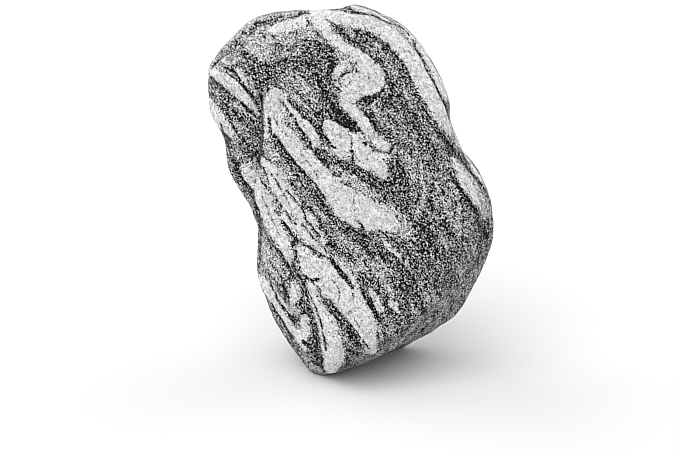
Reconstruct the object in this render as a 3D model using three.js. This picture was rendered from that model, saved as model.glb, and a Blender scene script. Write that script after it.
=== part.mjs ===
// A tall water-worn boulder of black and white banded gneiss, as set in an aquascape: one piece of stone.
// Millimetres, +Z up. The broad face looks along -Y, and the boulder stands on a flat patch underneath.
import * as THREE from "three";
import { mergeVertices } from "three/addons/utils/BufferGeometryUtils.js";

// Outline of the boulder seen from the front, [x, z], clockwise from the top.
const OUTLINE = [
  [2, 240.3], [9, 238.5], [20, 233], [31, 227], [42, 218], [51, 205], [59, 190], [63, 177.5], [63.2, 166],
  [67.5, 154], [73.8, 141], [83, 130], [89, 118], [92, 105], [95, 92], [96, 78], [93, 62], [86, 45],
  [77, 29], [66, 13], [54, 0], [38, -10], [20, -14], [2, -15], [-15, -12], [-25, -4], [-33, 5], [-41, 15],
  [-50, 30], [-56, 45], [-60, 59], [-61.5, 72], [-61, 86], [-61.2, 98], [-65.7, 111.5], [-71.8, 122],
  [-77.8, 133], [-80.8, 143], [-81.5, 153], [-85.2, 163], [-90.8, 173], [-93, 183], [-93, 193],
  [-90.5, 202], [-88.5, 209], [-82.5, 216.5], [-71, 225.5], [-58, 233], [-40, 236.5], [-22, 236],
  [-10, 237], [-4, 238.5],
];
const HEART = new THREE.Vector3(0, 0, 118); // the point that the outline and the faces are laid out from
const HALF_DEPTH = 64; // from the outline's plane to the front face and to the back face
const REACH = new THREE.Vector3(95, HALF_DEPTH, 122); // how the surface's points are spread before shaping
const FULLNESS = 2.7; // 2 would be an ellipse between outline and face, more is squarer
const LEAN = 0.04; // how far the upper part leans back, for each mm of height
const FOOT_SOFT = 3; // how softly the underside turns into the flat patch that it stands on

// Flats worn on the boulder: where each faces, how far it lies from the heart, and how softly it starts.
const FLATS = [
  { name: "front face", azimuth: -84, tilt: 5, distance: 56, soft: 12 },
  { name: "front foot", azimuth: -104, tilt: -46, distance: 103, soft: 8 },
  { name: "right foot", azimuth: -57, tilt: -50, distance: 100, soft: 6 },
  { name: "crown, front left", azimuth: -105, tilt: 46, distance: 106, soft: 14 },
  { name: "right shoulder", azimuth: -40, tilt: 22, distance: 91, soft: 14 },
  { name: "lower left flank", azimuth: -140, tilt: -20, distance: 73, soft: 12 },
  { name: "lower right flank", azimuth: -35, tilt: -28, distance: 88, soft: 16 },
  { name: "back face", azimuth: 78, tilt: 8, distance: 57, soft: 14 },
  { name: "back left flank", azimuth: 146, tilt: 12, distance: 82, soft: 12 },
  { name: "back right flank", azimuth: 32, tilt: -6, distance: 84, soft: 14 },
  { name: "crown, back", azimuth: 96, tilt: 52, distance: 104, soft: 16 },
];

// The ledge down the front, [x, z] from its top: left of it the face lies further back than right of it.
const LEDGE = [
  [-40, 212], [-47, 203], [-51, 196], [-53, 183], [-55, 165], [-56, 153], [-58, 139], [-61, 125],
  [-62, 108],
];
const LEDGE_SHARE = 0.27; // share of its depth that the face loses left of the ledge
const LEDGE_WIDTH = 8; // from the ledge's brink to its foot, across the face
const LEDGE_ENDS = { foot: [84, 132], top: [182, 208] }; // heights between which it fades in and out

// The bands run right through the boulder and dip to the back. On them, a point's place is [across, along],
// where along is its height plus DIP for each mm further back.
const DIP = 0.28;
const BACK_WARP = { from: -15, to: 45, across: [13, 102, 0.8], along: [11, 87, 2.2] };

// Bands that stand proud and seams that are worn back: [across, along, half-width] down each centre-line.
const SEAMS = [
  {
    name: "slab band",
    rise: 2.8,
    path: [[-48, 180, 5], [-47, 167, 8], [-38, 148, 8], [-18, 125, 9], [4, 105, 12], [24, 94, 7]],
  },
  {
    name: "seam under the slab",
    rise: -1.8,
    path: [[-52, 153, 5], [-39, 135, 6], [-27, 115, 6], [-14, 99, 6], [2, 86, 5]],
  },
  {
    name: "fold",
    rise: 2.4,
    path: [[-14, 220, 5], [-2, 207, 6], [9, 194, 9], [0, 183, 9], [4, 168, 6], [10, 158, 6]],
  },
  { name: "hollow left of the fold", rise: -1.8, path: [[-23, 195, 7], [-20, 178, 7], [-11, 166, 6]] },
  { name: "patches", rise: 1.8, path: [[-9, 154, 8], [4, 145, 8], [16, 134, 8]] },
  {
    name: "rim band",
    rise: 1.6,
    path: [[-14, 233, 6], [5, 228, 7], [21, 220, 8], [33, 205, 8], [42, 190, 8], [50, 175, 7], [59, 160, 6]],
  },
  {
    name: "rim seam",
    rise: -1.6,
    path: [[3, 236, 4], [22, 230, 4], [40, 217, 4], [48, 199, 4], [56, 181, 4], [62, 166, 4]],
  },
  { name: "right seam", rise: -1.7, path: [[50, 156, 5], [61, 146, 5], [73, 132, 5], [84, 117, 5]] },
  { name: "ledge band", rise: 1.4, path: [[-88, 197, 6], [-76, 188, 7], [-62, 173, 6]] },
  { name: "left bands", rise: 1.4, path: [[-57, 118, 6], [-50, 98, 6], [-40, 80, 5]] },
  { name: "lower band", rise: 2.4, path: [[-31, 71, 6], [-19, 64, 9], [-6, 52, 10], [9, 25, 8]] },
  { name: "long seam", rise: -1.8, path: [[-42, 71, 5], [-31, 57, 5], [-26, 40, 5], [-22, 20, 5]] },
  { name: "second band", rise: 1.6, path: [[-21, 45, 5], [-16, 30, 6.5], [-11, 12, 8]] },
];

// The gentle unevenness of a worn surface: each wave's [height, wavelength, phase] and the way it runs.
const WAVES = [
  { size: [0.9, 74, 0.4], run: new THREE.Vector3(0.6, 0.3, 0.74) },
  { size: [0.8, 58, 2.1], run: new THREE.Vector3(-0.7, 0.5, 0.5) },
  { size: [0.7, 47, 4.4], run: new THREE.Vector3(0.2, -0.8, 0.56) },
  { size: [0.5, 36, 1.3], run: new THREE.Vector3(0.85, 0.4, -0.34) },
  { size: [0.45, 29, 5.2], run: new THREE.Vector3(-0.3, 0.45, 0.84) },
  { size: [0.35, 23, 3.0], run: new THREE.Vector3(0.5, -0.6, 0.62) },
];

const DETAIL = 21; // rows of triangles along an edge of the sphere that the surface starts as
const FRONT_SHARE = 0.4; // how far those triangles draw towards the front face, which has the finer forms
const RIM_STEPS = 12; // points of the outline's curve from one of its named points to the next

const smooth = (low, high, value) => THREE.MathUtils.smoothstep(value, low, high);

const wave = ([height, wavelength, phase], at) => height * Math.sin((at * 2 * Math.PI) / wavelength + phase);

// How far over 0 a value is, rounded off within soft of 0.
function softExcess(value, soft) {
  if (value <= -soft) return 0;
  if (value >= soft) return value;
  return (value + soft) ** 2 / (4 * soft);
}

// Distance from the heart to the outline, for every angle in the outline's plane.
function outlineRadii() {
  const points = OUTLINE.map(([x, z]) => new THREE.Vector3(x - HEART.x, z - HEART.z, 0));
  const curve = new THREE.CatmullRomCurve3(points, true, "catmullrom", 0.5);
  const rim = curve.getPoints(OUTLINE.length * RIM_STEPS).map((p) => ({
    angle: Math.atan2(p.y, p.x),
    radius: Math.hypot(p.x, p.y),
  }));
  return rim.sort((a, b) => a.angle - b.angle);
}

const RIM = outlineRadii();

function rimRadius(angle) {
  let low = 0;
  let high = RIM.length - 1;
  if (angle <= RIM[0].angle || angle >= RIM[high].angle) return RIM[0].radius;
  while (high - low > 1) {
    const middle = (low + high) >> 1;
    if (RIM[middle].angle <= angle) low = middle;
    else high = middle;
  }
  const share = (angle - RIM[low].angle) / Math.max(RIM[high].angle - RIM[low].angle, 1e-9);
  return THREE.MathUtils.lerp(RIM[low].radius, RIM[high].radius, share);
}

// The plain pebble: the outline in its own plane, rounded over to the faces in front and behind.
function pebble(direction) {
  const reach = direction.clone().multiply(REACH);
  const across = Math.hypot(reach.x, reach.z) / rimRadius(Math.atan2(reach.z, reach.x));
  const through = Math.abs(reach.y) / HALF_DEPTH;
  const scale = (across ** FULLNESS + through ** FULLNESS) ** (-1 / FULLNESS);
  return reach.multiplyScalar(scale).add(HEART);
}

function flatten(point) {
  for (const flat of FLATS) {
    const azimuth = THREE.MathUtils.degToRad(flat.azimuth);
    const tilt = THREE.MathUtils.degToRad(flat.tilt);
    const normal = new THREE.Vector3(
      Math.cos(azimuth) * Math.cos(tilt),
      Math.sin(azimuth) * Math.cos(tilt),
      Math.sin(tilt),
    );
    const over = point.clone().sub(HEART).dot(normal) - flat.distance;
    point.addScaledVector(normal, -softExcess(over, flat.soft));
  }
}

// Where the ledge stands at a height, across the boulder.
function ledgeX(z) {
  const below = LEDGE.findIndex(([, height]) => height < z);
  if (below === 0) return LEDGE[0][0];
  if (below < 0) return LEDGE[LEDGE.length - 1][0];
  const [x0, z0] = LEDGE[below - 1];
  const [x1, z1] = LEDGE[below];
  return THREE.MathUtils.mapLinear(z, z0, z1, x0, x1);
}

// The face left of the ledge lies back, from a little under the crown to where the ledge runs out.
function setBack(point) {
  if (point.y > 0) return;
  const left = smooth(0, LEDGE_WIDTH, ledgeX(point.z) - point.x);
  const along = smooth(...LEDGE_ENDS.foot, point.z) * (1 - smooth(...LEDGE_ENDS.top, point.z));
  point.y *= 1 - LEDGE_SHARE * left * along;
}

// A point's place on the bands. Towards the back they wander off, as they do inside any such stone.
function bandPlace(point) {
  const back = smooth(BACK_WARP.from, BACK_WARP.to, point.y);
  const along = point.z + DIP * point.y;
  return [
    point.x + back * wave(BACK_WARP.across, along),
    along + back * wave(BACK_WARP.along, point.x),
  ];
}

// How far inside a seam a place lies: 1 along its centre-line, 0 from a little past its half-width.
function seamShare(path, across, along) {
  let share = 0;
  for (let i = 1; i < path.length; i += 1) {
    const [x0, z0, half0] = path[i - 1];
    const [x1, z1, half1] = path[i];
    const length2 = (x1 - x0) ** 2 + (z1 - z0) ** 2;
    const t = THREE.MathUtils.clamp(((across - x0) * (x1 - x0) + (along - z0) * (z1 - z0)) / length2, 0, 1);
    const distance = Math.hypot(across - x0 - t * (x1 - x0), along - z0 - t * (z1 - z0));
    const half = THREE.MathUtils.lerp(half0, half1, t);
    share = Math.max(share, 1 - smooth(0.3 * half, 1.4 * half, distance));
  }
  return share;
}

// Moves the point out or in: seams, and the waves between them. The outline itself stays nearly as it is.
function relief(point, direction) {
  const onFace = smooth(0, 0.4, Math.abs(point.y) / HALF_DEPTH);
  const [across, along] = bandPlace(point);
  let height = 0;
  for (const seam of SEAMS) height += seam.rise * seamShare(seam.path, across, along);
  for (const { size, run } of WAVES) height += wave(size, point.dot(run));
  point.addScaledVector(direction, height * onFace);
}

function surfacePoint(direction) {
  const point = pebble(direction);
  flatten(point);
  setBack(point);
  relief(point, direction);
  point.y += LEAN * (point.z - HEART.z);
  point.z = softExcess(point.z, FOOT_SOFT);
  return point;
}

function boulder() {
  const geometry = new THREE.IcosahedronGeometry(1, DETAIL);
  geometry.deleteAttribute("normal");
  geometry.deleteAttribute("uv");
  const skin = mergeVertices(geometry);
  const position = skin.getAttribute("position");
  for (let i = 0; i < position.count; i += 1) {
    const direction = new THREE.Vector3().fromBufferAttribute(position, i).normalize();
    direction.y -= FRONT_SHARE * (1 - direction.y ** 2);
    direction.normalize();
    position.setXYZ(i, ...surfacePoint(direction));
  }
  skin.computeBoundingBox();
  const middle = skin.boundingBox.getCenter(new THREE.Vector3());
  skin.translate(-middle.x, -middle.y, -skin.boundingBox.min.z);
  skin.computeVertexNormals();
  return skin;
}

const stone = new THREE.Mesh(
  boulder(),
  new THREE.MeshStandardMaterial({ color: 0x8f8f8d, roughness: 0.85, metalness: 0 }),
);
stone.name = "stone";

const part = new THREE.Group();
part.add(stone);

export default part;
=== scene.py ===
"""A tall water-worn boulder of black and white banded gneiss, standing on a pale studio floor.

The boulder is one piece of stone. Its form is laid out from an outline, a few worn flats, a ledge down its
front and the bands that run through it. The bands are drawn as strokes on the broad face and carried through
the stone, and its grains take their share of pale and dark minerals from them. A few of the strokes are
painted shade instead, low on the right and along the ledge, and the outer rim is partly painted light.
Lengths are in millimetres until the mesh is finished, and angles in degrees.
"""

import logging
import math
from dataclasses import dataclass
from enum import Enum

import bmesh
import bpy
import numpy as np
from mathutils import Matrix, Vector, noise

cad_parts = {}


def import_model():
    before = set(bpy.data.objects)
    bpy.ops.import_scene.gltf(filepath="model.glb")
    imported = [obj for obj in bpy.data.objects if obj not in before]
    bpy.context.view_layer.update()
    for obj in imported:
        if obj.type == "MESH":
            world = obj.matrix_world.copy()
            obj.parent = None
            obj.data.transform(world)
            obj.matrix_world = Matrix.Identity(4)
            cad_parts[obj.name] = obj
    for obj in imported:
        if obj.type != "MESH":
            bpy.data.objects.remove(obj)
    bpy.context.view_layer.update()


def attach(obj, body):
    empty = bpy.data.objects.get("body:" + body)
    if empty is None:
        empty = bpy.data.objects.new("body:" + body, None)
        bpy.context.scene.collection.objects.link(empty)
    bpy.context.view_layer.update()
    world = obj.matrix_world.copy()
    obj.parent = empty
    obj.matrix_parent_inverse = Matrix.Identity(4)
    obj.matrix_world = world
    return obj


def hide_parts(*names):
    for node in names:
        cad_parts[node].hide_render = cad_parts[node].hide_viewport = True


LOG = logging.getLogger("boulder")
MM = 0.001  # metres in a millimetre

# The (across, along, half-width) points of a centre-line on the bands' own sheet
Path = tuple[tuple[float, float, float], ...]
# Two values between which something sets in or fades out
Span = tuple[float, float]


class Rock(Enum):
    """What a band of the gneiss is made of, named as the skin's attribute that holds its depth; a few of them
    paint shade and light instead.
    """

    PALE = "pale"
    MOTTLED = "mottled"
    DIM = "dim"
    DARK = "dark"


@dataclass(frozen=True)
class Seam:
    """A band that stands proud of the face, or one worn into it where its rise is less than 0."""

    rise: float
    path: Path


@dataclass(frozen=True)
class Flat:
    """A flat worn on the boulder: where it faces, how far from the heart it lies, how softly it starts."""

    azimuth: float
    tilt: float
    distance: float
    soft: float

    def normal(self) -> np.ndarray:
        """The direction that the flat faces."""
        azimuth, tilt = math.radians(self.azimuth), math.radians(self.tilt)
        return np.array([
            math.cos(azimuth) * math.cos(tilt),
            math.sin(azimuth) * math.cos(tilt),
            math.sin(tilt),
        ])


@dataclass(frozen=True)
class Wave:
    """A gentle wave over the surface, and the way that it runs."""

    height: float
    length: float
    phase: float
    run: tuple[float, float, float] = (0.0, 0.0, 0.0)

    def at(self, distance: np.ndarray) -> np.ndarray:
        """Height of the wave at each distance along its run."""
        return self.height * np.sin(distance * 2 * math.pi / self.length + self.phase)


# Bands of almost nothing but pale grains, and the outer rim, which is partly painted light
PALE_BANDS: dict[str, Path] = {
    "rim band": (
        (-25, 235.5, 2.2), (-17.5, 234.5, 3.2), (-5, 229, 4.4), (9.5, 226, 4.7), (16.5, 223, 5.1),
        (23.5, 218.5, 5.4), (29, 212.5, 5.5), (37, 202, 5.5), (54, 169, 5.2), (60, 157.5, 2.6),
    ),
    "crown band": (
        (-23, 233.5, 4.2), (-20.5, 227, 4.2), (-13.5, 217, 2.9), (-4.5, 209, 3.1), (1, 205, 3.4),
        (6, 201.5, 3.9), (9.5, 196, 5.5),
    ),
    "fold nose": (
        (9.5, 196, 5.5), (12, 192, 6.5), (12, 188, 6.8), (6.5, 184.5, 6.8), (1, 182, 6.2),
        (-3.5, 179.5, 5.2), (-5.5, 175.5, 3.2),
    ),
    "fold limb": ((-4, 199.5, 2.2), (-7, 197.5, 1.8), (-9.5, 194.5, 2), (-11, 190.5, 1.7)),
    "neck": ((-5.5, 175, 3.2), (4.5, 164.5, 2.9), (12.5, 152, 3.2), (16.5, 148.5, 3.5), (20, 146.5, 3)),
    "left patch": ((-13.5, 158.5, 5.2), (-9.5, 154, 7.2), (-7.5, 149, 6.5), (-7, 145, 4.6)),
    "middle patch": (
        (2, 151.5, 3.9), (4, 145.5, 5.5), (6.5, 140, 6.2), (11, 136.5, 6.5), (14.5, 134, 6.2),
        (18.5, 128.5, 2.9),
    ),
    "slab band": (
        (-48, 179, 4.2), (-49, 174, 5.5), (-49, 167.5, 5.9), (-48, 162, 5.5), (-45, 156, 5.5),
        (-40, 150.5, 4.9), (-17, 123.5, 6.4),
    ),
    "slab lens": (
        (-17, 123.5, 6.4), (-12.5, 118.5, 6.2), (-7.5, 114, 8.5), (-2, 108.5, 10.1), (4, 105, 10.4),
        (9.5, 102.5, 9.4), (16, 101, 7.8), (20, 99, 6.8), (24, 96.5, 4.6),
    ),
    "slab edge": ((-53, 171, 1.3), (-53, 152.5, 1.3)),
    "slab strip": (
        (-42.5, 178.5, 2), (-37, 169.5, 2.3), (-29, 158, 3.6), (-25.5, 152.5, 3.2), (-23, 148, 2),
    ),
    "crown top": ((-50.5, 223, 2.6), (-43.5, 225, 3.6), (-36, 226.5, 3.6), (-29.5, 230.5, 2.6)),
    "ledge band": ((-90, 196, 3.2), (-80, 190, 3.9), (-71, 182.5, 3.9), (-58.5, 170, 2)),
    "left streak": ((-71.5, 195.5, 1.3), (-66.5, 188, 1)),
    "left rim": (
        (-91, 177.5, 1.6), (-88.5, 172, 3.2), (-85.5, 166.5, 3.8), (-82, 162, 3.5), (-76.5, 155.5, 1.3),
    ),
    "recess patch": ((-68, 134, 2.3), (-66, 130.5, 3.6), (-65.5, 126, 3.6), (-64, 121, 2.3)),
    "first left band": (
        (-58.5, 124, 2.3), (-57.5, 119, 4.2), (-56, 114, 5.2), (-54, 108, 5.2), (-50, 96.5, 4.9),
        (-47, 91.5, 4.6), (-43.5, 86, 3.6), (-40.5, 76, 2.6), (-40, 72, 1.6),
    ),
    "second left band": (
        (-55, 137.5, 2.2), (-52, 133, 3.9), (-48, 128, 4.6), (-39.5, 112, 5.3), (-34, 101.5, 4.2),
        (-31, 96.5, 3.2), (-22, 83, 1.6),
    ),
    "third left band": ((-42, 101.5, 2), (-38.5, 97, 2.6), (-17.5, 77, 1)),
    "fourth left band": ((-29, 104, 1.6), (-26, 101.5, 2.9), (-23.5, 98.5, 1.6)),
    "fifth left band": ((-23, 94.5, 1.2), (-17.5, 86, 1.2)),
    "lower band": (
        (-31, 80, 2.6), (-28.5, 74.5, 4.9), (-25.5, 70, 7.2), (-20.5, 65, 8.5), (-7, 54, 9.1),
        (-2, 47.5, 9.1), (2.5, 41, 8.5), (6, 34.5, 7.2), (8.5, 27.5, 5.9), (12, 13.5, 3.2),
    ),
    "second lower band": (
        (-26, 58.5, 2), (-24.5, 53, 3.2), (-23, 48, 3.2), (-21.5, 42, 3.9), (-16.5, 29, 4.6),
        (-12.5, 15.5, 6.5), (-12, 8, 6.2), (-13.5, 1, 4.6),
    ),
    "gap streak": ((-7.5, 71.5, 1.3), (-5.5, 67.5, 1.6), (1, 59.5, 1.6)),
    "lower left rim": (
        (-59, 61, 1.6), (-57, 57, 2.9), (-54.5, 52.5, 3.6), (-48, 42.5, 2.3), (-44.5, 36.5, 2),
        (-34.5, 19.5, 2), (-30.5, 14, 2),
    ),
    "lower spot": ((-36.5, 58, 2.3), (-36.5, 52.5, 3.2), (-37, 47.5, 2.3)),
    "lowest spot": ((-31, 35, 2), (-30.5, 29.5, 3.2), (-30.5, 24, 3.2), (-31.5, 20.5, 2)),
    "inner left streak": ((-51, 54.5, 0.6), (-47.5, 48.5, 1), (-40, 37.5, 0.8)),
    "thin streak": ((18, 87, 0.6), (24, 80.5, 1.3), (28, 77, 1.2), (30.5, 74.5, 0.6)),
    "wedge streak": ((11, 54.5, 1.3), (13.5, 50.5, 2.1), (15.5, 46.5, 1.6), (17.5, 42, 2)),
    "wedge patch": ((23.5, 47, 1.3), (26, 44, 2), (28, 40.5, 1.3)),
    "right lens": ((62.5, 140, 0.8), (66.5, 132, 3), (71, 123, 3.6), (73.5, 119, 3.2), (78.5, 110, 1.3)),
    # Partly pale rock and partly painted light: the rim is painted paler, as if lit, where it turns away from
    # the lamps
    "outer rim": (
        (0.5, 238, 2), (19.5, 231.5, 2), (28.5, 227, 2), (35.5, 223, 2.3), (40.5, 217, 2.3), (52, 195, 2.6),
        (57.5, 180.5, 2.6),
    ),
    "right outer rim": (
        (62, 162.5, 1), (67, 158, 2), (68, 150, 2.3), (75, 147, 2.1), (75.5, 140.5, 1.8), (78, 133.5, 1.6),
        (84.5, 121, 0.6),
    ),
    "fold middle": ((-5.5, 188.5, 2.6), (-2, 190.5, 2.9), (2, 191, 3.2)),
    "head of the middle patch": ((15, 141, 2.6), (19.5, 140.5, 2.3)),
    "far right band": (
        (50, 248, 2.6), (65, 231.5, 3.9), (79.5, 210, 4.6), (90.5, 184, 4.9), (99.5, 158, 3.9),
        (105.5, 133, 2.3),
    ),
    "far right streak": ((97, 217.5, 1.3), (107.5, 193.5, 2.3), (117.5, 167.5, 2.6), (124.5, 139.5, 1.6)),
    "lower right side band": (
        (95.5, 109, 2), (104.5, 88.5, 3.6), (109.5, 67, 4.6), (111.5, 45, 3.6), (109.5, 24, 2),
    ),
    "lower right side streak": ((115, 119.5, 1), (123.5, 95.5, 2), (128, 71, 1.6)),
    "right of the second lower band": (
        (-20, 45.5, 0.6), (-14.5, 36, 1.4), (-12, 31.5, 1.3), (-9.5, 27, 0.6),
    ),
}

# Patches and streaks that are paler than the plain rock
MOTTLED_BANDS: dict[str, Path] = {
    "crown mottle": (
        (-66, 217.5, 3.9), (-61, 212.5, 6.5), (-56.5, 213, 7.8), (-51.5, 217, 6.5), (-45.5, 218, 5.2),
        (-39, 215, 3.9),
    ),
    "upper crown mottle": ((-57, 222.5, 3.9), (-48, 224, 3.9), (-33, 220.5, 3.9)),
    "right of the ledge band": ((-71, 193, 3.2), (-68, 188.5, 3.2), (-65, 184, 2)),
    "under the ledge band": ((-72.5, 174.5, 2.3), (-66.5, 171.5, 2.9), (-60, 167.5, 2.3)),
    "left rim mottle": ((-80, 162, 2.6), (-76, 158, 2.9), (-73, 154.5, 2)),
    "slab mottle": ((-13.5, 131.5, 3.2), (-8, 128, 4.6), (3, 123, 2.9), (6.5, 120, 2.6), (9.5, 117, 1.6)),
    "inner slab mottle": ((-42.5, 171, 2.6), (-35, 158, 3.9), (-31, 151, 3.9), (-28, 144.5, 2.9)),
    "beside the neck": ((1.5, 164, 2.3), (4.5, 160, 2.6)),
    "fold limb foot": ((-10, 186.5, 2.6), (-10, 182.5, 2.6), (-8, 178.5, 2)),
    "inside the fold": ((-9, 206, 2.3), (-4.5, 202.5, 2.6), (2, 196, 2)),
    "lens end": ((31.5, 93.5, 5.2), (35, 90.5, 3.9)),
    "right lens tail": (
        (64, 139, 2), (68, 133.5, 3.6), (72.5, 127, 4.2), (80, 114.5, 3.9), (83, 109, 3.2),
        (84.5, 103, 2.3),
    ),
    "right side": ((69, 72, 2.3), (70.5, 66.5, 2.9), (68, 62, 2.3)),
    "lower left mottle": (
        (-58, 82.5, 2), (-55, 77.5, 3.6), (-51.5, 71, 4.3), (-49, 65.5, 4), (-46, 59.5, 2.1),
    ),
    "recess mottle": ((-61.5, 135, 3.2), (-62.5, 131, 4.2), (-63.5, 126.5, 2.6)),
    "above the lower band": ((-0.5, 71.5, 2), (2.5, 66, 2.3)),
    "foot mottle": ((-25.5, 0, 1.6), (-21, -2, 1.6)),
    "between the left bands": (
        (-57.5, 130.5, 2.3), (-54.5, 124, 3.2), (-46, 110.5, 3.2), (-42, 105, 2.9), (-39, 98.5, 2.3),
        (-35, 92, 2),
    ),
    "right of the crown top": ((-31, 222.5, 3.9), (-25.5, 221, 3.6), (-20.5, 218, 2.6)),
    "under the slab band": (
        (-52.5, 144.5, 2.6), (-49.5, 140, 3.2), (-45.5, 135, 3.2), (-41.5, 130.5, 2.9), (-37.5, 126.5, 1.6),
    ),
    "left of the first left band": ((-55, 101, 1.3), (-54, 96, 1.3), (-51.5, 89.5, 1.3)),
    "top left rim": (
        (-82, 210, 1.3), (-76, 218, 2), (-69, 225, 2.3), (-62, 229.5, 2.3), (-54.5, 233, 2),
        (-46, 235, 1.6), (-35.5, 235, 1.3),
    ),
    "lower crown mottle": ((-56.5, 204, 2.6), (-51.5, 206, 2.6), (-38.5, 208.5, 3.9)),
    "left rim of the crown": ((-86.5, 203, 2), (-82.5, 204, 3.2), (-77.5, 202, 3.6), (-73.5, 203, 2.6)),
    "foot of the left patch": ((-12, 143, 2.6), (-7.5, 141, 2.9), (-3.5, 140.5, 2.6)),
    "far right cloud": ((119, 205, 2.6), (130, 172.5, 4.6), (137.5, 139.5, 3.9)),
    "thin streak end": ((33, 72, 1), (36.5, 67.5, 1.3), (41, 62, 0.8)),
    "streak over the lower band": ((-25.5, 90.5, 0.5), (-16.5, 82.5, 1), (-2, 68.5, 0.8)),
    "light streak right of the neck": ((26.5, 158.5, 0.3), (35.5, 143.5, 0.8), (43, 128, 0.3)),
    "light streak right of the lens": ((46.5, 130.5, 0.4), (52, 121, 0.9), (59, 104, 0.9), (61, 97, 0.5)),
    "light streak low in the middle": ((3, 72.5, 0.3), (12.5, 61, 0.6), (16.5, 56.5, 0.3)),
    "light streak over the slab": ((-46, 187.5, 0.8), (-36.5, 179, 1.4), (-26.5, 170.5, 0.8)),
    "light streak under the crown": ((-69, 190.5, 0.3), (-64, 185.5, 0.6), (-60, 181.5, 0.4)),
    "speckled left of the lower band": (
        (-46.5, 64.5, 1.3), (-43, 61, 1.6), (-39, 43, 1.6), (-35.5, 39, 1.6),
    ),
    "second light streak over the slab": ((-41, 192.5, 0.4), (-31.5, 184, 1.2), (-22.5, 174, 0.5)),
    "light patch low in the middle": ((10, 72.5, 1.3), (14, 68.5, 2.6), (18, 64, 2.6), (21, 60, 1.3)),
    "light streak in the upper right": (
        (-35, 190, 0.6), (-32, 187.5, 1.6), (-28.5, 183.5, 1.7), (-24.5, 179.5, 0.8),
    ),
    "light streak right of the middle": (
        (37.5, 143.5, 0.5), (41.5, 134.5, 1), (44, 125, 1.2), (44, 116, 1.3), (42, 108, 1.6),
        (39.5, 103.5, 1),
    ),
    "light streak left of the right lens": (
        (61.5, 123, 0.5), (64.5, 116, 0.9), (66.5, 107.5, 1.2), (65, 98.5, 1.6), (66.5, 89.5, 1.3),
    ),
    "light patch under the lens": ((-10.5, 92, 1), (-5, 86, 2.6), (1, 81, 2.9), (6.5, 78, 1.3)),
    "light streak in the recess": ((-74.5, 165, 0.6), (-71, 159.5, 1.7), (-67, 154, 1)),
    "lower end of the crown mottle": ((-39, 215, 2.6), (-34.5, 213, 3.2), (-33.5, 208.5, 2)),
    "light streak under the slab": (
        (-37, 125.5, 0.5), (-24.5, 108.5, 1.7), (-20, 102.5, 1.6), (-17, 97, 0.9),
    ),
    "light patch at the crown edge": ((-63.5, 191.5, 1), (-62.5, 186.5, 1.6), (-60.5, 181.5, 1.2)),
    "right of the crown top middle": ((-43.5, 220, 1.6), (-39.5, 216.5, 2.6), (-36.5, 212.5, 1.6)),
    "head of the ledge band": ((-92, 203.5, 1.3), (-86.5, 199, 1.7), (-76.5, 194, 1.3)),
    "left of the wedge top": ((-5, 224.5, 1.3), (-2, 220.5, 2), (0, 218, 1.3)),
    "right of the wedge end": ((11.5, 214.5, 1), (15.5, 210.5, 1.7), (19, 206, 1.3)),
    "matrix right of the middle": ((32, 144.5, 0.6), (35.5, 138, 1.6), (44, 123, 0.6)),
    "under the lens end": ((-4, 98.5, 1), (0.5, 94, 2), (5, 90, 1)),
    "under the middle of the lens": ((15.5, 91.5, 1), (20.5, 89.5, 1.6), (25, 89, 0.9)),
    "light patch over the right foot": ((17.5, 61, 1), (21.5, 56.5, 1.8), (25.5, 51.5, 1.2)),
    "second light patch under the lens": ((-12.5, 89.5, 0.9), (-8, 85, 1.7), (-4, 81, 1)),
    "beside the neck head": ((-1, 173.5, 1), (3, 169.5, 1.4), (7, 164.5, 1)),
}
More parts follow.
